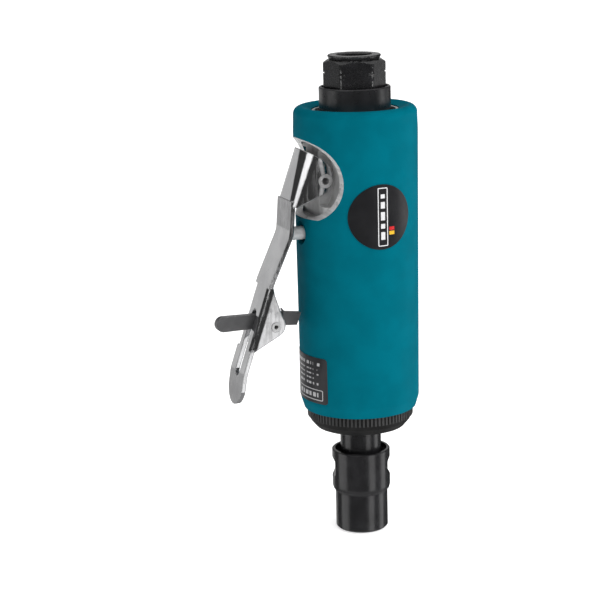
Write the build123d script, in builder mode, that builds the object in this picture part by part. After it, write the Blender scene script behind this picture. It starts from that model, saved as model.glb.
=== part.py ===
from build123d import *
import os

# Pneumatic die grinder. Millimetres. +Z runs along the spindle towards the air inlet, and the origin is
# the centre of the inlet's mouth. The throttle lever is on the -X side and the round badge faces -Y.

# ---------------------------------------------------------------- levels along the spindle axis
Z_LIP = -1.7  # underside of the inlet's flared lip
Z_HEX_END = -11.3  # underside of the inlet's hexagon, seated in the collar
Z_COLLAR_TOP = -10.7
Z_INLET_END = -13.0  # end of the inlet thread, before its relief
Z_SCREEN = -15.0  # ledge under the relief; the screen lies just below it
Z_SLEEVE_TOP = -17.0  # crest of the sleeve's rounded rim
Z_RIM = -18.6  # rear rim of the motor housing, just inside the sleeve's mouth
Z_SHOULDER = -20.6  # where the housing widens to fill the sleeve
Z_BOSS = -23.5  # face of the housing's central boss, under the collar
Z_CHAMBER = -27.2  # floor of the exhaust chamber
Z_THREAD_END = -33.0  # bottom of the inlet bushing's thread
Z_PIVOT = -41.0  # throttle lever pivot
Z_BADGE = -52.3
Z_VALVE = -59.3  # axis of the throttle valve
Z_MOTOR = -65.5  # rear face of the motor chamber
Z_LINER = -73.0  # rear face of the cylinder liner
Z_PLATE = -106.0  # rear face of the front end plate
Z_LABEL = -109.8
Z_BEARING = -109.0  # rear face of the front bearing
Z_STACK = -117.0  # front face of the front bearing
Z_SLEEVE_END = -122.4
Z_SEAL = -125.0  # rear face of the spindle seal
Z_KNURL_END = -125.7
Z_CLAMP_END = -130.1
Z_NUT = -138.5  # rear rim of the collet nut
Z_COLLET_REAR = -140.5
Z_FLATS = -145.1  # middle of the collet nut's spanner flats
Z_RIB_END = -151.8  # front end of the collet nut's wide rib
Z_SPINDLE_END = -157.0
Z_CONE = -157.8  # rear edge of the cone that squeezes the collet
Z_COLLET = -166.4  # front face of the collet
Z_NOSE = -167.6

# ---------------------------------------------------------------- radii and widths
R_LIP = 9.1
HEX_FLATS = 19.0
R_HEX = 10.6  # the hexagon's corners are turned down to this
R_INLET = 5.72  # minor radius of a G1/4 thread
R_SCREEN = 4.4
R_BUSHING = 8.0
R_COLLAR = 12.2
R_MOUTH = 13.8  # exhaust mouth of the housing
R_EXHAUST = 16.5  # exhaust chamber behind the mouth
R_HOUSING_BOSS = 10.5  # central boss that holds the inlet's thread
R_RIM = 14.7
R_HOUSING = 18.45
R_CREST = 20.95  # sleeve at its rim, before it swells to full size
R_SLEEVE_TOP = 21.25
R_SLEEVE_END = 20.7
R_CHAMBER = 15.2  # motor chamber
R_CLAMP_THREAD = 16.4
R_CLAMP = 18.5
R_NECK = 7.175
R_NUT = 10.2
R_NUT_NOSE = 9.2
R_SHANK = 3.0  # 6 mm tool shank
R_BADGE = 11.0
LABEL_WIDTH, LABEL_HEIGHT = 23.8, 16.2
R_STUB = 4.0  # joint between the rotor and the collet spindle
R_BALL_BORE, R_BALL_OUTER = 5.0, 13.0  # front bearing
R_REAR_BORE, R_REAR_OUTER = 3.0, 9.5  # rear bearing
HEX_TURN = 41.9  # degrees from +X to a corner of the inlet hexagon
FLATS_TURN = -21.0  # degrees from +X to the collet nut's flats
KNURL_TEETH = 84

# ---------------------------------------------------------------- lever window and pivot
WINDOW_X, WINDOW_Z, WINDOW_R = -27.5, -41.1, 15.5
WINDOW_FLOOR = -53.7
WINDOW_TOP = -25.5  # upper end of the flat inside the window
POCKET_HIGH, POCKET_LOW, POCKET_R = -31.0, -49.6, 16.8  # pockets for the lever's ears
FLAT_X = -16.0  # flat milled on the housing inside the window
LUG_HALF = 5.6  # half-width of the lug between the lever's ears
PIVOT_X = -14.35
R_PIVOT = 1.9
SHEET = 1.5  # thickness of the lever's sheet
STRIP_HALF = 6.5  # half-width of the lever
EAR_HALF = 7.4  # half-width over the upper ears

# ---------------------------------------------------------------- lock lever
LOCK_X, LOCK_Z = -33.1, -89.6
R_LOCK = 1.55
LOCK_HALF = 1.2

# ---------------------------------------------------------------- throttle valve
R_STEM = 2.3
R_VALVE_BORE = 4.0
VALVE_END = 7.0  # X of the valve bore's blind end
OUTLET_X = -8.3
PORT_X = -12.6

RUN = 0.05  # radial clearance of a running fit
DEEP = 60.0  # reach of a cut that goes right through


def turned(points, mode=Mode.ADD):
    """Turn a closed (radius, z) outline about the spindle axis."""
    with BuildSketch(Plane.XZ) as outline:
        with BuildLine():
            Polyline(*points, close=True)
        make_face()
    revolve(outline.sketch, axis=Axis.Z, mode=mode)


def cylinder_z(radius, low, high, x=0.0, y=0.0, mode=Mode.ADD):
    """Cylinder along Z, from level low to level high."""
    with BuildSketch(Plane.XY.offset(low)) as disc:
        with Locations((x, y)):
            Circle(radius)
    extrude(disc.sketch, amount=high - low, mode=mode)


def cylinder_x(radius, low, high, z=Z_VALVE, mode=Mode.ADD):
    """Cylinder along X, from low to high, at height z."""
    with BuildSketch(Plane.YZ.offset(low)) as disc:
        with Locations((0, z)):
            Circle(radius)
    extrude(disc.sketch, amount=high - low, mode=mode)


def cylinder_y(radius, x, z, half, mode=Mode.ADD):
    """Cylinder along Y through (x, z), reaching half to each side."""
    with BuildSketch(Plane.XZ) as disc:
        with Locations((x, z)):
            Circle(radius)
    extrude(disc.sketch, amount=half, both=True, mode=mode)


def ring_z(inner, outer, low, high, mode=Mode.ADD):
    """Flat ring about the spindle axis."""
    with BuildSketch(Plane.XY.offset(low)) as ring:
        Circle(outer)
        Circle(inner, mode=Mode.SUBTRACT)
    extrude(ring.sketch, amount=high - low, mode=mode)


def window_sketch(plane, radius, low, high):
    """Round outline about the lever window's centre, on a plane across Y, kept between two levels."""
    with BuildSketch(plane) as outline:
        with Locations((WINDOW_X, WINDOW_Z)):
            Circle(radius)
        with Locations((WINDOW_X, (low + high) / 2)):
            Rectangle(4 * WINDOW_R, high - low, mode=Mode.INTERSECT)
    return outline.sketch


def save(builder, name):
    """Label a finished piece and write its STEP file."""
    builder.part.label = name
    export_step(builder.part, f"parts/{name}.step")


os.makedirs("parts", exist_ok=True)

# ================================================================ grip sleeve and motor housing

with BuildPart() as grip_sleeve:
    with BuildSketch(Plane.XZ):
        with BuildLine():
            Polyline(
                (R_RIM + 0.2, Z_SLEEVE_TOP - 1.3),
                (R_CREST, Z_SLEEVE_TOP + 0.9),
                (R_SLEEVE_TOP, Z_SLEEVE_TOP - 8.0),
                (R_SLEEVE_END, Z_SLEEVE_END + 3.6),
                (R_SLEEVE_END - 1.1, Z_SLEEVE_END),
                (R_HOUSING, Z_SLEEVE_END),
                (R_HOUSING, Z_SHOULDER),
                (R_RIM + 0.2, Z_SHOULDER),
                close=True,
            )
        make_face()
        fillet(vertices().sort_by(Axis.X)[-1], radius=30.0)
        fillet(vertices().sort_by(Axis.Y)[-1], radius=2.5)
        fillet(vertices().group_by(Axis.Y)[1], radius=4.0)
    revolve(axis=Axis.Z)
    opening = window_sketch(Plane.XZ, WINDOW_R, WINDOW_FLOOR, WINDOW_Z + WINDOW_R)
    extrude(opening, amount=DEEP, both=True, mode=Mode.SUBTRACT)
    cylinder_x(R_VALVE_BORE, -DEEP, 0.0, mode=Mode.SUBTRACT)
save(grip_sleeve, "grip_sleeve")

with BuildPart() as motor_housing:
    turned(
        [
            (0, Z_RIM),
            (R_RIM, Z_RIM),
            (R_RIM, Z_SHOULDER),
            (R_HOUSING, Z_SHOULDER),
            (R_HOUSING, Z_SLEEVE_END),
            (0, Z_SLEEVE_END),
        ]
    )
    # flat inside the window, and the lug's round boss about the pivot
    with BuildSketch(Plane.XY.offset(WINDOW_FLOOR)):
        with Locations((FLAT_X - 10, 0)):
            Rectangle(20, 2 * R_HOUSING)
    extrude(amount=WINDOW_TOP - WINDOW_FLOOR, mode=Mode.SUBTRACT)
    cylinder_y(R_PIVOT + 2.3, PIVOT_X, Z_PIVOT, LUG_HALF)
    # pockets for the lever's ears, on both sides of the lug
    for side in (1, -1):
        pocket = window_sketch(Plane.XZ.offset(side * LUG_HALF), POCKET_R, POCKET_LOW, POCKET_HIGH)
        extrude(pocket, amount=side * R_HOUSING, mode=Mode.SUBTRACT)
    cylinder_y(R_PIVOT, PIVOT_X, Z_PIVOT, DEEP, mode=Mode.SUBTRACT)
    # exhaust mouth and chamber about the central boss
    cylinder_z(R_MOUTH, Z_BOSS, Z_RIM, mode=Mode.SUBTRACT)
    ring_z(R_HOUSING_BOSS, R_MOUTH, Z_CHAMBER, Z_BOSS, mode=Mode.SUBTRACT)
    ring_z(R_HOUSING_BOSS, R_EXHAUST, Z_CHAMBER, Z_BOSS - 0.5, mode=Mode.SUBTRACT)
    # inlet thread, air passage, valve bore and the passage to the motor
    cylinder_z(R_BUSHING, Z_THREAD_END, Z_BOSS, mode=Mode.SUBTRACT)
    cylinder_z(3.0, Z_VALVE, Z_THREAD_END, mode=Mode.SUBTRACT)
    cylinder_x(R_VALVE_BORE, -DEEP, VALVE_END, mode=Mode.SUBTRACT)
    cylinder_z(2.0, Z_MOTOR, Z_VALVE, x=OUTLET_X, mode=Mode.SUBTRACT)
    with BuildSketch(Plane.XY.offset(Z_MOTOR)):
        with Locations(((OUTLET_X + PORT_X) / 2, 0)):
            SlotCenterToCenter(OUTLET_X - PORT_X, 3.8)
    extrude(amount=2.5, mode=Mode.SUBTRACT)
    # motor chamber and the clamp nut's thread
    cylinder_z(R_CHAMBER, Z_SLEEVE_END, Z_MOTOR, mode=Mode.SUBTRACT)
    cylinder_z(R_CLAMP_THREAD, Z_SLEEVE_END, Z_STACK + 0.5, mode=Mode.SUBTRACT)
    # exhaust grooves from the liner to the rear chamber
    with BuildSketch(Plane.XY.offset(Z_PLATE)):
        with PolarLocations(15.6, 4, start_angle=-75, angular_range=150, endpoint=True):
            Circle(1.3)
    extrude(amount=Z_CHAMBER - Z_PLATE, mode=Mode.SUBTRACT)
save(motor_housing, "motor_housing")

# ================================================================ air inlet

with BuildPart() as air_inlet_bushing:
    with BuildSketch(Plane.XY.offset(Z_HEX_END)):
        RegularPolygon(HEX_FLATS / 2, 6, major_radius=False, rotation=HEX_TURN)
    extrude(amount=Z_LIP - Z_HEX_END)
    # crowned ends of the hexagon, and the thin groove round its corners
    turned(
        [
            (0, Z_HEX_END),
            (10.1, Z_HEX_END),
            (R_HEX, Z_HEX_END + 0.5),
            (R_HEX, Z_LIP - 0.9),
            (9.3, Z_LIP),
            (0, Z_LIP),
        ],
        mode=Mode.INTERSECT,
    )
    ring_z(R_HEX - 0.4, HEX_FLATS, -6.15, -5.65, mode=Mode.SUBTRACT)
    turned([(0, Z_LIP), (8.45, Z_LIP), (R_LIP, -0.35), (R_LIP - 0.25, 0), (0, 0)])
    cylinder_z(R_BUSHING, Z_THREAD_END, Z_HEX_END)
    cylinder_z(R_INLET, Z_INLET_END, 0, mode=Mode.SUBTRACT)
    cylinder_z(R_INLET + 0.5, Z_SCREEN, Z_INLET_END, mode=Mode.SUBTRACT)
    cylinder_z(R_SCREEN, Z_THREAD_END, Z_SCREEN, mode=Mode.SUBTRACT)
    turned([(R_INLET, -0.5), (R_INLET + 0.5, 0), (R_INLET, 0)], mode=Mode.SUBTRACT)
    ring_z(6.9, R_BUSHING + 1, -30.2, -28.8, mode=Mode.SUBTRACT)
save(air_inlet_bushing, "air_inlet_bushing")

with BuildPart() as inlet_oring:
    with BuildSketch(Plane.XZ):
        with Locations((7.45, -29.5)):
            Circle(0.54)
    revolve(axis=Axis.Z)
save(inlet_oring, "inlet_oring")

with BuildPart() as inlet_screen:
    with BuildSketch(Plane.XY.offset(Z_SCREEN - 0.8)):
        Circle(R_SCREEN)
        with GridLocations(1.4, 1.4, 4, 4):
            Circle(0.45, mode=Mode.SUBTRACT)
    extrude(amount=0.6)
save(inlet_screen, "inlet_screen")

with BuildPart() as exhaust_collar:
    ring_z(R_BUSHING, R_COLLAR, Z_BOSS, Z_COLLAR_TOP)
    with BuildSketch(Plane.XY.offset(Z_HEX_END)):
        Circle(11.3)
    extrude(amount=1.0, mode=Mode.SUBTRACT)
    fillet(edges().filter_by(GeomType.CIRCLE).group_by(Axis.Z)[-1].sort_by(SortBy.RADIUS)[-1], radius=0.4)
save(exhaust_collar, "exhaust_collar")

with BuildPart() as exhaust_felt:
    ring_z(10.6, 16.4, Z_CHAMBER, -24.6)
save(exhaust_felt, "exhaust_felt")

# ================================================================ throttle lever

# outer face of the lever, from its top to its curled tip
FACE = [
    (-21.3, -30.2),
    (-26.3, -45.8),
    (-27.3, -58.5),
    (-34.6, -74.2),
    (-45.4, -105.3),
    (-47.2, -116.3),
]
TIP_Z = -109.8  # centre of the round tip
TAB_SLOT_Z = -95.3  # middle of the slot for the lock lever's tab

# The sheet is bent into a channel at both pairs of ears. The upper bends are conical, tightest at the bottom.
CHANNEL_HIGH, CHANNEL_LOW = -26.0, -52.0
FACE_HIGH, FACE_LOW = -19.95, -27.65  # outer face at those levels
BEND_HIGH, BEND_LOW = 6.9, 2.2  # outer bend radius at those levels
BEND_EARS = 2.2  # outer bend radius at the lower ears


def conical_block(inset):
    """The upper channel's outside as a solid block, shrunk by inset."""
    with BuildPart() as block:
        for level, face, bend in ((CHANNEL_HIGH, FACE_HIGH, BEND_HIGH), (CHANNEL_LOW, FACE_LOW, BEND_LOW)):
            with BuildSketch(Plane.XY.offset(level)):
                with Locations(((face + inset) / 2 + 5, 0)):
                    RectangleRounded(10 - face - inset, 2 * (EAR_HALF - inset), bend - inset)
        loft(ruled=True)
    return block.part


bend_outside = conical_block(0.0)
bend_inside = conical_block(SHEET)

with BuildPart() as upper_channel:
    with BuildSketch(Plane.XZ):
        with BuildLine():
            Line((-21.3, -30.2), (-16.4, -32.9))
            ThreePointArc((-16.4, -32.9), (-11.95, -38.6), (-13.9, -45.1))
            Polyline((-13.9, -45.1), (-24.6, -49.4), (-26.5, -48.9), (-26.5, -46.4), (-21.3, -30.2))
        make_face()
    extrude(amount=EAR_HALF, both=True)
    add(bend_outside, mode=Mode.INTERSECT)
    add(bend_inside, mode=Mode.SUBTRACT)

with BuildPart() as lower_channel:
    with BuildSketch(Plane.XZ):
        with BuildLine():
            Polyline((-34.91, -75.1), (-33.7, -75.4), (-33.2, -78.5), (-30.5, -86.8))
            ThreePointArc((-30.5, -86.8), (-29.7, -90.0), (-31.9, -92.8))
            Polyline((-31.9, -92.8), (-41.9, -98.0), (-42.87, -98.0), (-34.91, -75.1))
        make_face()
    extrude(amount=STRIP_HALF, both=True)
    fillet(edges().filter_by(lambda edge: (edge @ 1 - edge @ 0).length > 24), radius=BEND_EARS)
    with BuildSketch(Plane.XZ):
        Polygon((-32.6, -73.0), (-41.97, -100.0), (-20.0, -100.0), (-20.0, -73.0), align=None)
    extrude(amount=STRIP_HALF - SHEET, both=True, mode=Mode.SUBTRACT)

with BuildPart() as throttle_lever:
    # the strip
    with BuildSketch(Plane.XZ):
        with BuildLine():
            FilletPolyline(*FACE, radius=[12.0, 9.0, 14.0, 14.0])
            offset(amount=SHEET, side=Side.LEFT)
        make_face()
    extrude(amount=STRIP_HALF, both=True)
    # the strip makes way for the two channels
    for low, high in ((-97.2, -76.2), (-47.2, 0.0)):
        with BuildSketch(Plane.XY.offset(low)):
            Rectangle(2 * DEEP, 4 * STRIP_HALF)
        extrude(amount=high - low, mode=Mode.SUBTRACT)
    add(upper_channel.part)
    add(lower_channel.part)
    # round tip, and the slot for the lock lever's tab
    with BuildSketch(Plane.YZ.offset(-DEEP)):
        with Locations((0, TIP_Z - 5)):
            Rectangle(4 * STRIP_HALF, 10)
        with Locations((0, TIP_Z)):
            Circle(STRIP_HALF, mode=Mode.SUBTRACT)
    extrude(amount=DEEP, mode=Mode.SUBTRACT)
    with BuildSketch(Plane.YZ.offset(-DEEP)):
        with Locations((0, TAB_SLOT_Z)):
            SlotCenterToCenter(18.6, 4.0, rotation=90)
    extrude(amount=DEEP - 36.0, mode=Mode.SUBTRACT)
    cylinder_y(R_PIVOT + RUN, PIVOT_X, Z_PIVOT, DEEP, mode=Mode.SUBTRACT)
    cylinder_y(R_LOCK, LOCK_X, LOCK_Z, DEEP, mode=Mode.SUBTRACT)
save(throttle_lever, "throttle_lever")

with BuildPart() as lever_pivot_pin:
    cylinder_y(R_PIVOT, PIVOT_X, Z_PIVOT, EAR_HALF + 0.35)
    # flared heads outside the ears
    for side in (1, -1):
        with BuildSketch(Plane.XZ.offset(side * (EAR_HALF + RUN))):
            with Locations((PIVOT_X, Z_PIVOT)):
                Circle(R_PIVOT + 0.45)
        extrude(amount=side * 0.3)
    cylinder_y(1.25, PIVOT_X, Z_PIVOT, DEEP, mode=Mode.SUBTRACT)
save(lever_pivot_pin, "lever_pivot_pin")

# ================================================================ lock lever on the throttle lever

TAB_X, TAB_Z, TAB_R = -49.9, -88.1, 2.6  # rounded end of the tab
LOCK_TOP = TAB_Z + TAB_R
LOCK_LOW = TAB_Z - TAB_R

with BuildPart() as lock_lever:
    with BuildSketch(Plane.XZ):
        with BuildLine():
            Polyline((TAB_X, LOCK_TOP), (-27.5, LOCK_TOP - 0.6), (-21.8, -86.9), (-23.5, -91.1))
            Polyline((-23.5, -91.1), (-28.5, LOCK_LOW), (TAB_X, LOCK_LOW))
            ThreePointArc((TAB_X, LOCK_LOW), (TAB_X - TAB_R, TAB_Z), (TAB_X, LOCK_TOP))
        make_face()
        with Locations((LOCK_X, LOCK_Z)):
            Circle(3.3)
    extrude(amount=LOCK_HALF, both=True)
    cylinder_y(R_LOCK + RUN, LOCK_X, LOCK_Z, DEEP, mode=Mode.SUBTRACT)
save(lock_lever, "lock_lever")

with BuildPart() as lock_pin:
    cylinder_y(R_LOCK, LOCK_X, LOCK_Z, STRIP_HALF + 0.3)
    cylinder_y(0.75, LOCK_X, LOCK_Z, DEEP, mode=Mode.SUBTRACT)
save(lock_pin, "lock_pin")

WIRE = 0.35  # radius of the spring wire
COIL = 2.2  # mean radius of the torsion coil
COIL_START = -LOCK_HALF - 0.6
with BuildPart() as lock_spring:
    with BuildLine() as coil:
        Helix(pitch=0.85, height=2.55, radius=COIL, center=(LOCK_X, COIL_START, LOCK_Z), direction=(0, -1, 0))
    with BuildSketch(Plane(origin=coil.line @ 0, z_dir=coil.line % 0)):
        Circle(WIRE)
    sweep(is_frenet=True)
    # leg that crosses the top of the lock lever
    with BuildLine() as leg:
        FilletPolyline(
            coil.line @ 0,
            (-29.5, COIL_START, LOCK_Z - 1.4),
            (-28.6, COIL_START, LOCK_TOP - 0.2),
            (-28.2, LOCK_HALF, LOCK_TOP + 0.1),
            radius=0.5,
        )
    with BuildSketch(Plane(origin=leg.line @ 0, z_dir=leg.line % 0)):
        Circle(WIRE)
    sweep()
save(lock_spring, "lock_spring")

# ================================================================ throttle valve

with BuildPart() as valve_stem:
    with BuildSketch(Plane.XZ):
        with BuildLine():
            Polyline(
                (-25.5, Z_VALVE),
                (-25.5, Z_VALVE + 1.3),
                (-24.8, Z_VALVE + R_STEM),
                (-11.0, Z_VALVE + R_STEM),
                (-11.0, Z_VALVE + 1.4),
                (-4.0, Z_VALVE + 1.4),
                (-4.0, Z_VALVE + 3.3),
                (-2.4, Z_VALVE + 3.3),
                (-2.4, Z_VALVE + 1.3),
                (0.6, Z_VALVE + 1.3),
                (0.6, Z_VALVE),
                close=True,
            )
        make_face()
    revolve(axis=Axis((0, 0, Z_VALVE), (1, 0, 0)))
save(valve_stem, "valve_stem")

with BuildPart() as valve_bushing:
    cylinder_x(R_VALVE_BORE, -18.4, -12.0)
    cylinder_x(R_STEM + RUN, -DEEP, 0.0, mode=Mode.SUBTRACT)
    cylinder_x(3.35, -17.0, -15.9, mode=Mode.SUBTRACT)
save(valve_bushing, "valve_bushing")

with BuildPart() as stem_oring:
    with BuildSketch(Plane.XZ):
        with Locations((-16.45, Z_VALVE + 2.85)):
            Circle(0.49)
    revolve(axis=Axis((0, 0, Z_VALVE), (1, 0, 0)))
save(stem_oring, "stem_oring")

with BuildPart() as valve_seat:
    cylinder_x(R_VALVE_BORE, -5.8, -4.05)
    cylinder_x(2.1, -DEEP, 0.0, mode=Mode.SUBTRACT)
save(valve_seat, "valve_seat")

with BuildPart() as valve_spring:
    with BuildLine() as turns:
        Helix(pitch=1.7, height=8.6, radius=2.5, center=(-2.05, 0, Z_VALVE), direction=(1, 0, 0))
    with BuildSketch(Plane(origin=turns.line @ 0, z_dir=turns.line % 0)):
        Circle(0.3)
    sweep(is_frenet=True)
save(valve_spring, "valve_spring")

# ================================================================ air motor

PLATE_R = R_CHAMBER - 0.05
LINER_BORE = 12.0
ECCENTRIC = 1.0
R_ROTOR = 10.9
VANES = 5
VANE_FLOOR = 5.2
R_DOWEL, DOWEL_Y = 1.0, -13.2


def dowel_hole():
    """Hole for the dowel that lines the motor's end plates up with the liner."""
    cylinder_z(R_DOWEL, Z_STACK, Z_MOTOR, y=DOWEL_Y, mode=Mode.SUBTRACT)


with BuildPart() as rear_end_plate:
    cylinder_z(PLATE_R, Z_LINER, Z_MOTOR)
    cylinder_z(R_REAR_OUTER, Z_LINER + 1.5, Z_MOTOR, mode=Mode.SUBTRACT)
    cylinder_z(4.2, Z_LINER, Z_MOTOR, mode=Mode.SUBTRACT)
    cylinder_z(1.9, Z_LINER, Z_MOTOR, x=PORT_X, mode=Mode.SUBTRACT)
    dowel_hole()
save(rear_end_plate, "rear_end_plate")

with BuildPart() as cylinder_liner:
    cylinder_z(PLATE_R, Z_PLATE, Z_LINER)
    cylinder_z(LINER_BORE, Z_PLATE, Z_LINER, y=ECCENTRIC, mode=Mode.SUBTRACT)
    dowel_hole()
    # exhaust slots on the side away from the inlet port
    with BuildSketch(Plane.YZ.offset(8.0)):
        with GridLocations(0, 6.0, 1, 4):
            with Locations((0, (Z_LINER + Z_PLATE) / 2)):
                Rectangle(9.0, 2.0)
    extrude(amount=R_CHAMBER, mode=Mode.SUBTRACT)
save(cylinder_liner, "cylinder_liner")

with BuildPart() as front_end_plate:
    cylinder_z(PLATE_R, Z_STACK, Z_PLATE)
    cylinder_z(R_BALL_OUTER, Z_STACK, Z_BEARING, mode=Mode.SUBTRACT)
    cylinder_z(5.7, Z_STACK, Z_PLATE, mode=Mode.SUBTRACT)
    cylinder_z(R_DOWEL, Z_BEARING + 0.5, Z_PLATE, y=DOWEL_Y, mode=Mode.SUBTRACT)
save(front_end_plate, "front_end_plate")

with BuildPart() as liner_dowel:
    cylinder_z(R_DOWEL, Z_BEARING + 0.5, Z_MOTOR - 0.5, y=DOWEL_Y)
save(liner_dowel, "liner_dowel")

with BuildPart() as rotor:
    cylinder_z(R_ROTOR, Z_PLATE + 0.6, Z_LINER - 0.6)
    with BuildSketch(Plane.XY.offset(Z_PLATE)):
        with PolarLocations((VANE_FLOOR + R_ROTOR + 1) / 2, VANES):
            Rectangle(R_ROTOR + 1 - VANE_FLOOR, 1.6)
    extrude(amount=Z_LINER - Z_PLATE, mode=Mode.SUBTRACT)
    cylinder_z(3.8, Z_LINER - 0.6, Z_LINER + 1.2)
    cylinder_z(R_REAR_BORE, Z_LINER + 1.2, Z_MOTOR - 0.4)
    cylinder_z(R_BALL_BORE, Z_STACK - 0.4, Z_PLATE + 0.6)
    cylinder_z(R_STUB, Z_STACK - 11.0, Z_STACK - 0.4)
save(rotor, "rotor")

with BuildPart() as rotor_vanes:
    with BuildSketch(Plane.XY.offset(Z_PLATE + 0.8)):
        with PolarLocations((VANE_FLOOR + R_ROTOR) / 2, VANES):
            Rectangle(R_ROTOR - VANE_FLOOR - 0.2, 1.5)
    extrude(amount=Z_LINER - Z_PLATE - 1.6)
save(rotor_vanes, "rotor_vanes")


def bearing(name, bore, outer, low, high, balls):
    """Ball bearing as three nodes: inner race, outer race and balls."""
    pitch = (bore + outer) / 2
    ball = (outer - bore) * 0.245
    with BuildPart() as inner_race:
        ring_z(bore, pitch - ball - RUN, low, high)
    save(inner_race, f"{name}_inner_race")
    with BuildPart() as outer_race:
        ring_z(pitch + ball + RUN, outer, low, high)
    save(outer_race, f"{name}_outer_race")
    with BuildPart() as ball_set:
        with Locations((0, 0, (low + high) / 2)):
            with PolarLocations(pitch, balls):
                Sphere(ball)
    save(ball_set, f"{name}_balls")


bearing("rear_bearing", R_REAR_BORE, R_REAR_OUTER, Z_LINER + 1.5, Z_MOTOR, 7)
bearing("front_bearing", R_BALL_BORE, R_BALL_OUTER, Z_STACK, Z_BEARING, 8)

# ================================================================ clamp nut and collet

R_SEAL = 13.2

with BuildPart() as clamp_nut:
    turned(
        [
            (R_NECK + 0.45, Z_CLAMP_END),
            (13.0, Z_CLAMP_END),
            (15.6, Z_CLAMP_END + 0.7),
            (17.4, Z_KNURL_END - 1.6),
            (R_CLAMP - 0.25, Z_KNURL_END),
            (R_CLAMP - 0.25, Z_SLEEVE_END),
            (R_CLAMP_THREAD - RUN, Z_SLEEVE_END),
            (R_CLAMP_THREAD - RUN, Z_STACK),
            (R_SEAL, Z_STACK),
            (R_SEAL, Z_CLAMP_END + 1.7),
            (R_NECK + 0.45, Z_CLAMP_END + 1.7),
        ]
    )
    # knurled band
    with BuildSketch(Plane.XY.offset(Z_KNURL_END)):
        Circle(R_CLAMP)
        with PolarLocations(R_CLAMP, KNURL_TEETH):
            Rectangle(0.7, 0.65, mode=Mode.SUBTRACT)
        Circle(16.0, mode=Mode.SUBTRACT)
    extrude(amount=Z_SLEEVE_END - Z_KNURL_END)
save(clamp_nut, "clamp_nut")

with BuildPart() as spindle_seal:
    ring_z(R_NECK + 0.5, R_SEAL, Z_CLAMP_END + 1.7, Z_SEAL)
save(spindle_seal, "spindle_seal")

with BuildPart() as preload_washer:
    ring_z(11.6, R_SEAL - 0.1, Z_STACK - 0.8, Z_STACK)
save(preload_washer, "preload_washer")

with BuildPart() as collet_spindle:
    turned(
        [
            (0, Z_STACK - 0.4),
            (6.2, Z_STACK - 0.4),
            (6.2, Z_STACK - 2.6),
            (R_NECK, Z_STACK - 3.2),
            (R_NECK, Z_SPINDLE_END),
            (5.4, Z_SPINDLE_END),
            (3.5, Z_COLLET_REAR + 0.5),
            (R_SHANK + 0.1, Z_COLLET_REAR + 0.5),
            (R_SHANK + 0.1, Z_COLLET_REAR + 8.5),
            (0, Z_COLLET_REAR + 8.5),
        ]
    )
    cylinder_z(R_STUB, Z_STACK - 11.0, Z_STACK, mode=Mode.SUBTRACT)
save(collet_spindle, "collet_spindle")

with BuildPart() as collet:
    turned(
        [
            (3.35, Z_COLLET_REAR),
            (5.25, Z_SPINDLE_END + 0.1),
            (5.25, Z_CONE + 0.4),
            (5.9, Z_CONE),
            (4.1, Z_COLLET + 2.0),
            (4.1, Z_COLLET),
            (R_SHANK, Z_COLLET),
            (R_SHANK, Z_COLLET_REAR),
        ]
    )
    with BuildSketch(Plane.XY.offset(Z_NOSE)):
        with PolarLocations(4.8, 3, start_angle=30):
            Rectangle(5.0, 0.8)
    extrude(amount=19.0, mode=Mode.SUBTRACT)
save(collet, "collet")

with BuildPart() as collet_nut:
    turned(
        [
            (9.1, Z_NUT),
            (R_NUT - 0.3, Z_NUT),
            (R_NUT, Z_NUT - 0.3),
            (R_NUT, Z_RIB_END),
            (R_NUT - 0.3, Z_RIB_END - 1.2),
            (R_NUT_NOSE, Z_RIB_END - 2.1),
            (R_NUT_NOSE, Z_NOSE + 0.7),
            (R_NUT_NOSE - 0.7, Z_NOSE),
            (4.9, Z_NOSE),
            (4.3, Z_NOSE + 0.6),
            (4.3, Z_COLLET + 1.9),
            (6.1, Z_CONE),
            (R_NECK, Z_CONE),
            (R_NECK, Z_NUT - 2.0),
            (9.1, Z_NUT - 2.0),
        ]
    )
    # two spanner flats with round ends
    with BuildSketch(Plane.XZ.rotated((0, 0, FLATS_TURN)).offset(-DEEP)):
        for side in (1, -1):
            with Locations((side * (R_NUT_NOSE + 5), Z_FLATS)):
                RectangleRounded(10, 7.6, 2.0)
    extrude(amount=2 * DEEP, mode=Mode.SUBTRACT)
save(collet_nut, "collet_nut")

# ================================================================ badge and label

with BuildPart() as round_badge:
    with BuildSketch(Plane.XZ.offset(15)):
        with Locations((0, Z_BADGE)):
            Circle(R_BADGE)
    extrude(amount=10)
    cylinder_z(R_SLEEVE_TOP + 0.12, Z_BADGE - 2 * R_BADGE, Z_BADGE + 2 * R_BADGE, mode=Mode.INTERSECT)
    cylinder_z(20, Z_BADGE - 2 * R_BADGE, Z_BADGE + 2 * R_BADGE, mode=Mode.SUBTRACT)
    add(grip_sleeve.part, mode=Mode.SUBTRACT)
save(round_badge, "round_badge")

with BuildPart() as label_plate:
    with BuildSketch(Plane.YZ.offset(-24)):
        with Locations((0, Z_LABEL)):
            RectangleRounded(LABEL_WIDTH, LABEL_HEIGHT, 1.0)
    extrude(amount=14)
    cylinder_z(R_SLEEVE_END + 0.22, Z_LABEL - LABEL_HEIGHT, Z_LABEL + LABEL_HEIGHT, mode=Mode.INTERSECT)
    cylinder_z(20, Z_LABEL - LABEL_HEIGHT, Z_LABEL + LABEL_HEIGHT, mode=Mode.SUBTRACT)
    add(grip_sleeve.part, mode=Mode.SUBTRACT)
save(label_plate, "label_plate")
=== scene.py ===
import math

import bpy
from mathutils import Matrix, Vector


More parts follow.
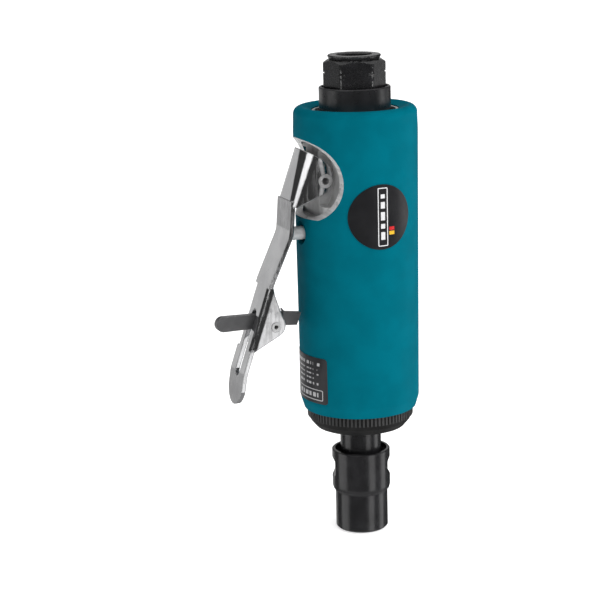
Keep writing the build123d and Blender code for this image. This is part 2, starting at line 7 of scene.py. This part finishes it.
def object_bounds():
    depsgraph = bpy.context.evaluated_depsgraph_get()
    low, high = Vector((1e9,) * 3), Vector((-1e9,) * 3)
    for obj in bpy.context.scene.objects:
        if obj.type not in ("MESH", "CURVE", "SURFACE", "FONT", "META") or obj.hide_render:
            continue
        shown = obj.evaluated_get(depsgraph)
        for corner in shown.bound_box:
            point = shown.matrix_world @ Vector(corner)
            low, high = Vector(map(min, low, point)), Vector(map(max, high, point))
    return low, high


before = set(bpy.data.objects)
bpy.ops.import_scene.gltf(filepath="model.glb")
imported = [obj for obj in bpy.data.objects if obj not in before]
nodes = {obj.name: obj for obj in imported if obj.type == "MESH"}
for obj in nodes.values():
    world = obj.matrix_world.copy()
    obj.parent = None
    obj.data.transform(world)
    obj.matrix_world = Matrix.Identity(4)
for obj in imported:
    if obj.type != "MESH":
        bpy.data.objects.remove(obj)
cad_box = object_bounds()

# Looks of the die grinder. Metres. The CAD nodes keep their shapes and get their finishes here.
MM = 0.001

WINDOW_X, WINDOW_Z = -27.5 * MM, -41.1 * MM  # centre of the sleeve's round window
WINDOW_REACH = 15.54 * MM  # just outside the window's cut wall
WINDOW_FLOOR = -53.73 * MM
HEX_CORNERS = (41.9, 101.9, 161.9)  # degrees about Z of the lines between the inlet hexagon's corners
HEX_INNER = 10.3 * MM  # the hexagon's corners lie outside this radius
KNURL_FLOOR, KNURL_CREST = 18.24 * MM, 18.4 * MM
KNURL_TOP = -122.4 * MM
BAR_X, BADGE_Z = 0.4 * MM, -52.3 * MM  # middle of the badge's framed bar
LABEL_BOX_Z = -114.9 * MM  # middle of the framed bar on the label
FLOOR_GAP = 0.3 * MM  # between the nut's end and the floor


class Finish:
    """A material under construction: masks, noise and mixes that feed one Principled shader."""

    def __init__(self, name, metallic=0.0, **constants):
        self.material = bpy.data.materials.new(name)
        self.material.use_nodes = True
        self.tree = self.material.node_tree
        self.shader = self.tree.nodes["Principled BSDF"]
        self.set("Metallic", metallic)
        for socket, value in constants.items():
            self.set(socket.replace("_", " "), value)
        self.place = self.add("ShaderNodeTexCoord").outputs["Object"]
        self.normal = None

    def add(self, kind, **settings):
        """New node with its settings."""
        node = self.tree.nodes.new(kind)
        for key, value in settings.items():
            setattr(node, key, value)
        return node

    def feed(self, socket, value):
        """Link a socket, or set it to a constant."""
        if isinstance(value, bpy.types.NodeSocket):
            self.tree.links.new(value, socket)
        elif isinstance(value, tuple) and len(value) == 3 and socket.type == "RGBA":
            socket.default_value = (*value, 1.0)
        else:
            socket.default_value = value

    def set(self, socket, value):
        self.feed(self.shader.inputs[socket], value)

    def math(self, operation, *values, clamp=False):
        node = self.add("ShaderNodeMath", operation=operation, use_clamp=clamp)
        for socket, value in zip(node.inputs, values):
            self.feed(socket, value)
        return node.outputs[0]

    def ramp(self, value, low, high, to_low=0.0, to_high=1.0):
        """Smooth step from to_low to to_high as value goes from low to high."""
        node = self.add("ShaderNodeMapRange", interpolation_type="SMOOTHSTEP")
        for socket, number in zip(node.inputs, (value, low, high, to_low, to_high)):
            self.feed(socket, number)
        return node.outputs[0]

    def mix(self, factor, first, second):
        node = self.add("ShaderNodeMix", data_type="RGBA")
        colours = [socket for socket in node.inputs if socket.type == "RGBA"]
        self.feed(node.inputs[0], factor)
        self.feed(colours[0], first)
        self.feed(colours[1], second)
        return [socket for socket in node.outputs if socket.type == "RGBA"][0]

    def axes(self):
        """The point's own x, y and z."""
        node = self.add("ShaderNodeSeparateXYZ")
        self.feed(node.inputs[0], self.place)
        return node.outputs[0], node.outputs[1], node.outputs[2]

    def length(self, across, along):
        """Length of the flat vector (across, along)."""
        squares = self.math("ADD", self.math("POWER", across, 2.0), self.math("POWER", along, 2.0))
        return self.math("SQRT", squares)

    def noise(self, size, detail=3.0, stretch=(1.0, 1.0, 1.0)):
        """Noise whose features are about size metres across."""
        mapping = self.add("ShaderNodeMapping")
        self.feed(mapping.inputs["Vector"], self.place)
        mapping.inputs["Scale"].default_value = stretch
        node = self.add("ShaderNodeTexNoise")
        self.feed(node.inputs["Vector"], mapping.outputs[0])
        node.inputs["Scale"].default_value = 1.0 / size
        node.inputs["Detail"].default_value = detail
        return node.outputs[0]

    def edge(self, radius):
        """0 on open faces, rising towards 1 on edges and corners within radius."""
        bevel = self.add("ShaderNodeBevel", samples=8)
        bevel.inputs["Radius"].default_value = radius
        geometry = self.add("ShaderNodeNewGeometry")
        dot = self.add("ShaderNodeVectorMath", operation="DOT_PRODUCT")
        self.feed(dot.inputs[0], bevel.outputs[0])
        self.feed(dot.inputs[1], geometry.outputs["Normal"])
        return self.math("SUBTRACT", 1.0, dot.outputs["Value"], clamp=True)

    def rounded(self, radius):
        """Shade edges as if they were rounded by radius."""
        bevel = self.add("ShaderNodeBevel", samples=4)
        bevel.inputs["Radius"].default_value = radius
        self.normal = bevel.outputs[0]

    def bump(self, height, depth):
        """Raise the surface by depth where height is 1, on top of what was raised before."""
        node = self.add("ShaderNodeBump")
        node.inputs["Strength"].default_value = 1.0
        node.inputs["Distance"].default_value = depth
        self.feed(node.inputs["Height"], height)
        if self.normal is not None:
            self.feed(node.inputs["Normal"], self.normal)
        self.normal = node.outputs[0]

    def done(self):
        """Connect the normal and give the finished material."""
        if self.normal is not None:
            self.set("Normal", self.normal)
        return self.material


def powder_coat(name, dark, light):
    """Matte coat of the grip, bare metal on the cut wall of its window."""
    coat = Finish(name, Specular_IOR_Level=0.01)
    patches = coat.noise(9 * MM)
    speckle = coat.noise(0.35 * MM, detail=2.0)
    colour = coat.mix(coat.ramp(patches, 0.3, 0.7), dark, light)
    colour = coat.mix(coat.math("MULTIPLY", coat.ramp(speckle, 0.55, 0.8), 0.1), colour, (0.0, 0.2, 0.26))
    x, _, z = coat.axes()
    across = coat.math("SUBTRACT", x, WINDOW_X)
    along = coat.math("SUBTRACT", z, WINDOW_Z)
    inside = coat.math("LESS_THAN", coat.length(across, along), WINDOW_REACH)
    above = coat.math("GREATER_THAN", z, WINDOW_FLOOR)
    bare = coat.math("MULTIPLY", inside, above)
    scratches = coat.noise(1.2 * MM, detail=4.0, stretch=(1.0, 0.06, 1.0))
    metal = coat.mix(coat.ramp(scratches, 0.3, 0.75), (0.62, 0.62, 0.62), (0.9, 0.9, 0.9))
    coat.set("Base Color", coat.mix(bare, colour, metal))
    coat.set("Metallic", coat.math("MULTIPLY", bare, 0.35))
    gloss = coat.ramp(coat.noise(4 * MM), 0.3, 0.7, 0.5, 0.64)
    coat.set("Roughness", coat.math("SUBTRACT", gloss, coat.math("MULTIPLY", bare, 0.25)))
    coat.rounded(0.25 * MM)
    coat.bump(coat.noise(0.55 * MM, detail=2.0), 0.012 * MM)
    return coat.done()


def black_finish(name, tone, rough, worn, wear_width, wear_amount, corners=()):
    """Blackened steel, rubbed to metal on its edges and on corner lines at the given angles about Z."""
    black = Finish(name, Specular_IOR_Level=0.9)
    patches = black.noise(5 * MM)
    light = tuple(channel * 1.6 for channel in tone)
    colour = black.mix(black.ramp(patches, 0.35, 0.7), tone, light)
    broken = black.ramp(black.noise(1.1 * MM, detail=5.0), 0.46, 0.62)
    rub = black.ramp(black.edge(wear_width), 0.02, 0.22)
    x, y, _ = black.axes()
    for degrees in corners:
        corner = math.radians(degrees)
        along_x = black.math("MULTIPLY", x, math.sin(corner))
        along_y = black.math("MULTIPLY", y, math.cos(corner))
        aside = black.math("ABSOLUTE", black.math("SUBTRACT", along_x, along_y))
        line = black.ramp(aside, 0.32 * MM, 0.12 * MM)
        outer = black.math("GREATER_THAN", black.length(x, y), HEX_INNER)
        rub = black.math("MAXIMUM", rub, black.math("MULTIPLY", line, outer))
    wear = black.math("MULTIPLY", black.math("MULTIPLY", rub, broken), wear_amount, clamp=True)
    black.set("Base Color", black.mix(wear, colour, worn))
    black.set("Metallic", wear)
    smudges = black.noise(1.6 * MM)
    black.set("Roughness", black.ramp(smudges, 0.3, 0.7, rough - 0.03, rough + 0.05))
    black.rounded(0.12 * MM)
    black.bump(black.noise(0.4 * MM, detail=2.0), 0.0008 * MM)
    return black.done()


def knurled(name):
    """Blackened ring with painted shade: the crests of its knurl are painted lighter grey than its near-black
    grooves.
    """
    black = Finish(name, Specular_IOR_Level=0.35)
    x, y, z = black.axes()
    # painted shade: the knurl's grooves stay near black and its crests are painted lighter grey
    painted_lit_crests = black.ramp(black.length(x, y), KNURL_FLOOR, KNURL_CREST)
    below = black.math("LESS_THAN", z, KNURL_TOP)
    patches = black.ramp(black.noise(5 * MM), 0.35, 0.7)
    colour = black.mix(patches, (0.006, 0.006, 0.006), (0.012, 0.012, 0.012))
    colour = black.mix(black.math("MULTIPLY", painted_lit_crests, below), colour, (0.045, 0.045, 0.045))
    black.set("Base Color", colour)
    black.set("Roughness", black.ramp(black.noise(1.6 * MM), 0.3, 0.7, 0.34, 0.44))
    black.rounded(0.08 * MM)
    black.bump(black.noise(0.4 * MM, detail=2.0), 0.001 * MM)
    return black.done()


def machined(name, tone, rough):
    """Turned or ground metal with fine tool lines."""
    metal = Finish(name, metallic=1.0)
    lines = metal.noise(0.8 * MM, detail=6.0, stretch=(1.0, 1.0, 0.05))
    dark = tuple(channel * 0.62 for channel in tone)
    stains = metal.noise(7 * MM)
    colour = metal.mix(metal.ramp(lines, 0.3, 0.7), dark, tone)
    colour = metal.mix(metal.ramp(stains, 0.5, 0.8, 0.0, 0.25), colour, dark)
    bright = metal.math("MULTIPLY", metal.ramp(metal.edge(0.3 * MM), 0.02, 0.25), 0.6)
    metal.set("Base Color", metal.mix(bright, colour, (0.85, 0.85, 0.86)))
    metal.set("Roughness", metal.ramp(lines, 0.3, 0.7, rough + 0.1, rough))
    metal.rounded(0.15 * MM)
    metal.bump(lines, 0.005 * MM)
    return metal.done()


def satin(name, tone, rough):
    """Pale blasted metal: mostly diffuse, with faint stains and brighter edges."""
    metal = Finish(name, metallic=0.35, Specular_IOR_Level=0.5)
    stains = metal.noise(3 * MM, detail=4.0)
    grain = metal.noise(0.3 * MM)
    colour = metal.mix(metal.ramp(stains, 0.35, 0.7), tone, tuple(channel * 0.8 for channel in tone))
    bright = metal.math("MULTIPLY", metal.ramp(metal.edge(0.3 * MM), 0.02, 0.25), 0.7)
    metal.set("Base Color", metal.mix(bright, colour, (0.9, 0.9, 0.9)))
    metal.set("Roughness", metal.ramp(grain, 0.3, 0.7, rough, rough + 0.12))
    metal.rounded(0.15 * MM)
    metal.bump(grain, 0.004 * MM)
    return metal.done()


def chrome(name):
    """Plated sheet: bright, faintly wavy, with fine rub marks along the strip."""
    plate = Finish(name, metallic=1.0)
    rubs = plate.noise(0.7 * MM, detail=6.0, stretch=(1.0, 1.0, 0.08))
    cloud = plate.noise(10 * MM, detail=2.0)
    colour = plate.mix(plate.ramp(cloud, 0.3, 0.7), (0.7, 0.7, 0.71), (0.84, 0.84, 0.85))
    pits = plate.ramp(plate.noise(0.8 * MM), 0.68, 0.76)
    plate.set("Base Color", plate.mix(plate.math("MULTIPLY", pits, 0.35), colour, (0.3, 0.3, 0.3)))
    plate.set("Roughness", plate.ramp(rubs, 0.35, 0.7, 0.07, 0.19))
    plate.rounded(0.5 * MM)
    plate.bump(plate.noise(6 * MM, detail=2.0), 0.05 * MM)
    plate.bump(rubs, 0.0005 * MM)
    return plate.done()


def rubber(name, tone):
    """Matte black elastomer or felt with a fine grain."""
    soft = Finish(name, Specular_IOR_Level=0.25)
    grain = soft.noise(0.4 * MM, detail=5.0)
    soft.set("Base Color", soft.mix(grain, tone, tuple(channel * 2.2 for channel in tone)))
    soft.set("Roughness", soft.ramp(grain, 0.2, 0.8, 0.65, 0.9))
    soft.bump(grain, 0.03 * MM)
    return soft.done()


def box_mask(paper, across, along, middle, half, corner):
    """1 inside a rounded rectangle on two coordinates, 0 outside."""
    past = []
    for place, centre, reach in zip((across, along), middle, half):
        offset = paper.math("ABSOLUTE", paper.math("SUBTRACT", place, centre))
        past.append(paper.math("MAXIMUM", paper.math("SUBTRACT", offset, reach - corner), 0.0))
    return paper.ramp(paper.length(*past), corner + 0.05 * MM, corner - 0.05 * MM)


def badge_print(name):
    """Glossy round foil, painted lighter towards +X as painted light, with a plain framed bar and two colour
    chips.
    """
    foil = Finish(name, Specular_IOR_Level=0.45, Coat_Weight=0.05, Coat_Roughness=0.2)
    x, _, z = foil.axes()
    cloud = foil.noise(6 * MM)
    colour = foil.mix(cloud, (0.006, 0.006, 0.007), (0.016, 0.016, 0.018))
    # painted light: the foil is painted lighter towards +X, the side the key light falls on
    colour = foil.mix(foil.ramp(x, 2.0 * MM, 10.0 * MM, 0.0, 0.35), colour, (0.035, 0.035, 0.037))
    frame_out = box_mask(foil, x, z, (BAR_X, BADGE_Z), (1.8 * MM, 9.9 * MM), 0.4 * MM)
    frame_in = box_mask(foil, x, z, (BAR_X, BADGE_Z), (1.5 * MM, 9.6 * MM), 0.25 * MM)
    outline = foil.math("SUBTRACT", frame_out, frame_in, clamp=True)
    colour = foil.mix(outline, colour, (0.72, 0.72, 0.73))
    for low, high in ((-46.0, -44.6), (-49.4, -47.2), (-53.4, -50.6), (-56.2, -54.6), (-60.0, -57.4)):
        middle, half = (low + high) / 2 * MM, (high - low) / 2 * MM
        bar = box_mask(foil, x, z, (BAR_X, middle), (0.75 * MM, half), 0.1 * MM)
        colour = foil.mix(bar, colour, (0.66, 0.66, 0.67))
    for level, paint in ((-56.4, (0.55, 0.012, 0.015)), (-57.9, (0.75, 0.42, 0.01))):
        chip = box_mask(foil, x, z, (3.7 * MM, level * MM), (1.0 * MM, 0.6 * MM), 0.1 * MM)
        colour = foil.mix(chip, colour, paint)
    foil.set("Base Color", colour)
    foil.set("Roughness", foil.ramp(foil.noise(2.5 * MM, detail=4.0), 0.3, 0.7, 0.28, 0.4))
    foil.bump(foil.noise(7 * MM), 0.03 * MM)
    return foil.done()


def label_print(name):
    """Dark plate with plain pale lines where a real one has its data."""
    paper = Finish(name, Specular_IOR_Level=0.5, Coat_Weight=0.1, Coat_Roughness=0.2)
    _, y, z = paper.axes()
    cloud = paper.noise(3 * MM)
    colour = paper.mix(cloud, (0.01, 0.01, 0.012), (0.026, 0.026, 0.03))
    edge_out = box_mask(paper, y, z, (0.0, LABEL_BOX_Z), (10.4 * MM, 1.9 * MM), 0.5 * MM)
    edge_in = box_mask(paper, y, z, (0.0, LABEL_BOX_Z), (10.15 * MM, 1.65 * MM), 0.35 * MM)
    colour = paper.mix(paper.math("SUBTRACT", edge_out, edge_in, clamp=True), colour, (0.5, 0.5, 0.51))
    # level, half-width and half-height of each line, in millimetres
    lines = (
        (-104.0, 9.4, 0.55),
        (-106.0, 8.2, 0.25),
        (-107.6, 9.4, 0.25),
        (-109.2, 7.4, 0.25),
        (-111.0, 9.0, 0.4),
        (-114.9, 9.2, 0.75),
    )
    breaks = paper.ramp(paper.noise(0.9 * MM, detail=0.0, stretch=(0.2, 1.0, 0.05)), 0.45, 0.5)
    for level, reach, half in lines:
        line = box_mask(paper, y, z, (0.0, level * MM), (reach * MM, half * MM), 0.1 * MM)
        colour = paper.mix(paper.math("MULTIPLY", line, breaks), colour, (0.45, 0.45, 0.46))
    paper.set("Base Color", colour)
    paper.set("Roughness", paper.ramp(paper.noise(1.5 * MM, detail=4.0), 0.3, 0.7, 0.3, 0.45))
    paper.bump(paper.noise(3 * MM), 0.02 * MM)
    return paper.done()


finishes = {
    "grip_sleeve": powder_coat("grip_coat", (0.0, 0.108, 0.15), (0.0, 0.124, 0.172)),
    "round_badge": badge_print("badge_foil"),
    "label_plate": label_print("label_foil"),
    "throttle_lever": chrome("lever_chrome"),
}
shared = {
    satin("housing_metal", (0.5, 0.5, 0.5), 0.4): ["motor_housing"],
    black_finish("inlet_black", (0.009, 0.009, 0.01), 0.24, (0.55, 0.55, 0.55), 0.3 * MM, 0.9, HEX_CORNERS): [
        "air_inlet_bushing"
    ],
    black_finish("collar_black", (0.009, 0.009, 0.01), 0.3, (0.4, 0.4, 0.4), 0.25 * MM, 0.4): [
        "exhaust_collar"
    ],
    black_finish("nut_black", (0.012, 0.012, 0.013), 0.22, (0.5, 0.5, 0.5), 0.2 * MM, 0.35): [
        "collet_nut",
        "collet_spindle",
    ],
    knurled("clamp_black"): ["clamp_nut"],
    black_finish("lock_black", (0.05, 0.05, 0.052), 0.33, (0.5, 0.5, 0.5), 0.35 * MM, 0.8): [
        "lock_lever",
        "lock_spring",
    ],
    satin("pin_steel", (0.55, 0.55, 0.55), 0.3): ["lever_pivot_pin", "lock_pin"],
    satin("stem_steel", (0.8, 0.8, 0.8), 0.3): ["valve_stem"],
    machined("bright_steel", (0.72, 0.72, 0.73), 0.16): [
        "valve_spring",
        "rear_end_plate",
        "cylinder_liner",
        "front_end_plate",
        "liner_dowel",
        "rotor",
        "rear_bearing_inner_race",
        "rear_bearing_outer_race",
        "rear_bearing_balls",
        "front_bearing_inner_race",
        "front_bearing_outer_race",
        "front_bearing_balls",
        "preload_washer",
        "collet",
    ],
    machined("brass_parts", (0.4, 0.27, 0.11), 0.35): ["valve_bushing", "inlet_screen"],
    rubber("seal_rubber", (0.012, 0.012, 0.012)): ["inlet_oring", "stem_oring", "valve_seat"],
    rubber("grey_felt", (0.12, 0.12, 0.12)): ["exhaust_felt", "spindle_seal"],
    rubber("vane_fibre", (0.06, 0.035, 0.02)): ["rotor_vanes"],
}
for material, names in shared.items():
    for name in names:
        finishes[name] = material
for name, node in nodes.items():
    node.data.materials.clear()
    node.data.materials.append(finishes[name])

# ---------------------------------------------------------------- floor, light and camera
floor_z = cad_box[0].z - FLOOR_GAP


def plain_material(name, tone, glow):
    """Even pale surface of the studio, with a little light of its own."""
    paper = Finish(name, Specular_IOR_Level=0.1, Roughness=0.9, Emission_Strength=glow)
    shade = paper.noise(0.4, detail=2.0)
    paper.set("Base Color", paper.mix(shade, tone, tuple(min(1.0, channel * 1.02) for channel in tone)))
    paper.set("Emission Color", (1.0, 1.0, 1.0))
    return paper.done()


floor_mesh = bpy.data.meshes.new("floor")
half_floor = 12.0
corners = [(sx * half_floor, sy * half_floor, floor_z) for sx, sy in ((-1, -1), (1, -1), (1, 1), (-1, 1))]
floor_mesh.from_pydata(corners, [], [(0, 1, 2, 3)])
floor = bpy.data.objects.new("floor", floor_mesh)
bpy.context.scene.collection.objects.link(floor)
floor.data.materials.append(plain_material("floor_white", (0.88, 0.88, 0.88), 0.62))
floor.visible_glossy = False
floor.visible_shadow = False

world = bpy.data.worlds.new("studio")
bpy.context.scene.world = world
world.use_nodes = True
sky = world.node_tree
background = sky.nodes["Background"]
rays = sky.nodes.new("ShaderNodeLightPath")
direction = sky.nodes.new("ShaderNodeSeparateXYZ")
sky.links.new(sky.nodes.new("ShaderNodeTexCoord").outputs["Generated"], direction.inputs[0])


def sky_band(start, end, amount, base):
    """Add amount to base as the direction's height goes from start to end."""
    band = sky.nodes.new("ShaderNodeMapRange")
    sky.links.new(direction.outputs["Z"], band.inputs["Value"])
    for socket, number in (("From Min", start), ("From Max", end), ("To Max", amount)):
        band.inputs[socket].default_value = number
    total = sky.nodes.new("ShaderNodeMath")
    sky.links.new(band.outputs[0], total.inputs[0])
    if isinstance(base, float):
        total.inputs[1].default_value = base
    else:
        sky.links.new(base, total.inputs[1])
    return total.outputs[0]


# other rays than the camera's see a dark band about the horizon, lighter above and below
glow = sky_band(0.45, 0.7, 0.5, sky_band(-0.5, -0.65, 0.22, 0.04))
strength = sky.nodes.new("ShaderNodeMapRange")
strength.inputs["To Max"].default_value = 1.0
sky.links.new(glow, strength.inputs["To Min"])
sky.links.new(rays.outputs["Is Camera Ray"], strength.inputs["Value"])
sky.links.new(strength.outputs[0], background.inputs["Strength"])
background.inputs["Color"].default_value = (1.0, 1.0, 1.0, 1.0)

TARGET = Vector((0.0, 0.0, -0.085))


def soft_light(name, azimuth, elevation, distance, width, height, power):
    """Area light aimed at the tool. Azimuth 0 is in front of the badge, positive towards +X."""
    a, e = math.radians(azimuth), math.radians(elevation)
    toward = Vector((math.sin(a) * math.cos(e), -math.cos(a) * math.cos(e), math.sin(e)))
    data = bpy.data.lights.new(name, "AREA")
    data.shape = "RECTANGLE"
    data.size = width
    data.size_y = height
    data.energy = power
    lamp = bpy.data.objects.new(name, data)
    lamp.location = TARGET + toward * distance
    lamp.rotation_euler = toward.to_track_quat("Z", "Y").to_euler()
    bpy.context.scene.collection.objects.link(lamp)
    return lamp


def wash(*placing):
    """Light that shades surfaces but doesn't show in reflections."""
    soft_light(*placing).visible_glossy = False


def card(*placing):
    """Light that shows in reflections but doesn't shade surfaces."""
    soft_light(*placing).visible_diffuse = False


# name, azimuth, elevation, distance, width, height, power
wash("key", 38, 16, 1.2, 0.3, 1.3, 7.0)
wash("front_fill", -12, 30, 1.4, 0.8, 0.8, 2.8)
wash("right_strip", 84, -2, 1.1, 0.16, 1.6, 3.4)
wash("left_strip", -97, -2, 1.1, 0.1, 1.6, 0.5)
card("front_card", 21, -26, 1.2, 0.5, 0.55, 0.85)
card("right_card", 75, -16, 1.2, 0.5, 0.9, 1.4)
card("left_card", -103, -17, 1.2, 0.8, 0.85, 1.6)
card("far_card", 180, -12, 1.2, 0.9, 0.7, 1.0)
card("hex_left_card", -131, -8, 1.2, 0.2, 0.3, 0.06)
card("hex_right_card", 107, -8, 1.2, 0.4, 0.3, 0.14)
card("lever_card", -154, 6, 1.1, 0.42, 0.4, 0.25)
card("tip_card", -154, -12, 1.1, 0.42, 0.3, 0.12)
card("bend_card", -50, 22, 1.1, 0.9, 0.4, 1.3)
card("rim_card", 157, 12, 1.2, 0.7, 0.5, 0.5)

sun_data = bpy.data.lights.new("overhead", "SUN")
sun_data.energy = 1.3
sun_data.angle = math.radians(70)
overhead = bpy.data.objects.new("overhead", sun_data)
overhead.rotation_euler = (math.radians(12), math.radians(8), 0)
overhead.visible_glossy = False
bpy.context.scene.collection.objects.link(overhead)

camera_data = bpy.data.cameras.new("camera")
camera_data.sensor_fit = "HORIZONTAL"
camera_data.sensor_width = 36.0
camera_data.lens = 111.66
camera_data.clip_start = 0.01
camera_data.clip_end = 60.0
camera = bpy.data.objects.new("camera", camera_data)
# the camera's azimuth, its height above the level and its roll
turn, tilt, roll = math.radians(-21.1565), math.radians(13.39536), math.radians(-1.42256)
back = Vector((math.sin(turn) * math.cos(tilt), -math.cos(turn) * math.cos(tilt), math.sin(tilt)))
level = Vector((math.cos(turn), math.sin(turn), 0.0))
upright = back.cross(level)
right = math.cos(roll) * level + math.sin(roll) * upright
up = math.cos(roll) * upright - math.sin(roll) * level
pose = Matrix((right, up, back)).transposed().to_4x4()
pose.translation = Vector((-0.24565, -0.57872, 0.065))
camera.matrix_world = pose
bpy.context.scene.collection.objects.link(camera)
bpy.context.scene.camera = camera
bpy.context.scene.view_settings.view_transform = "Standard"
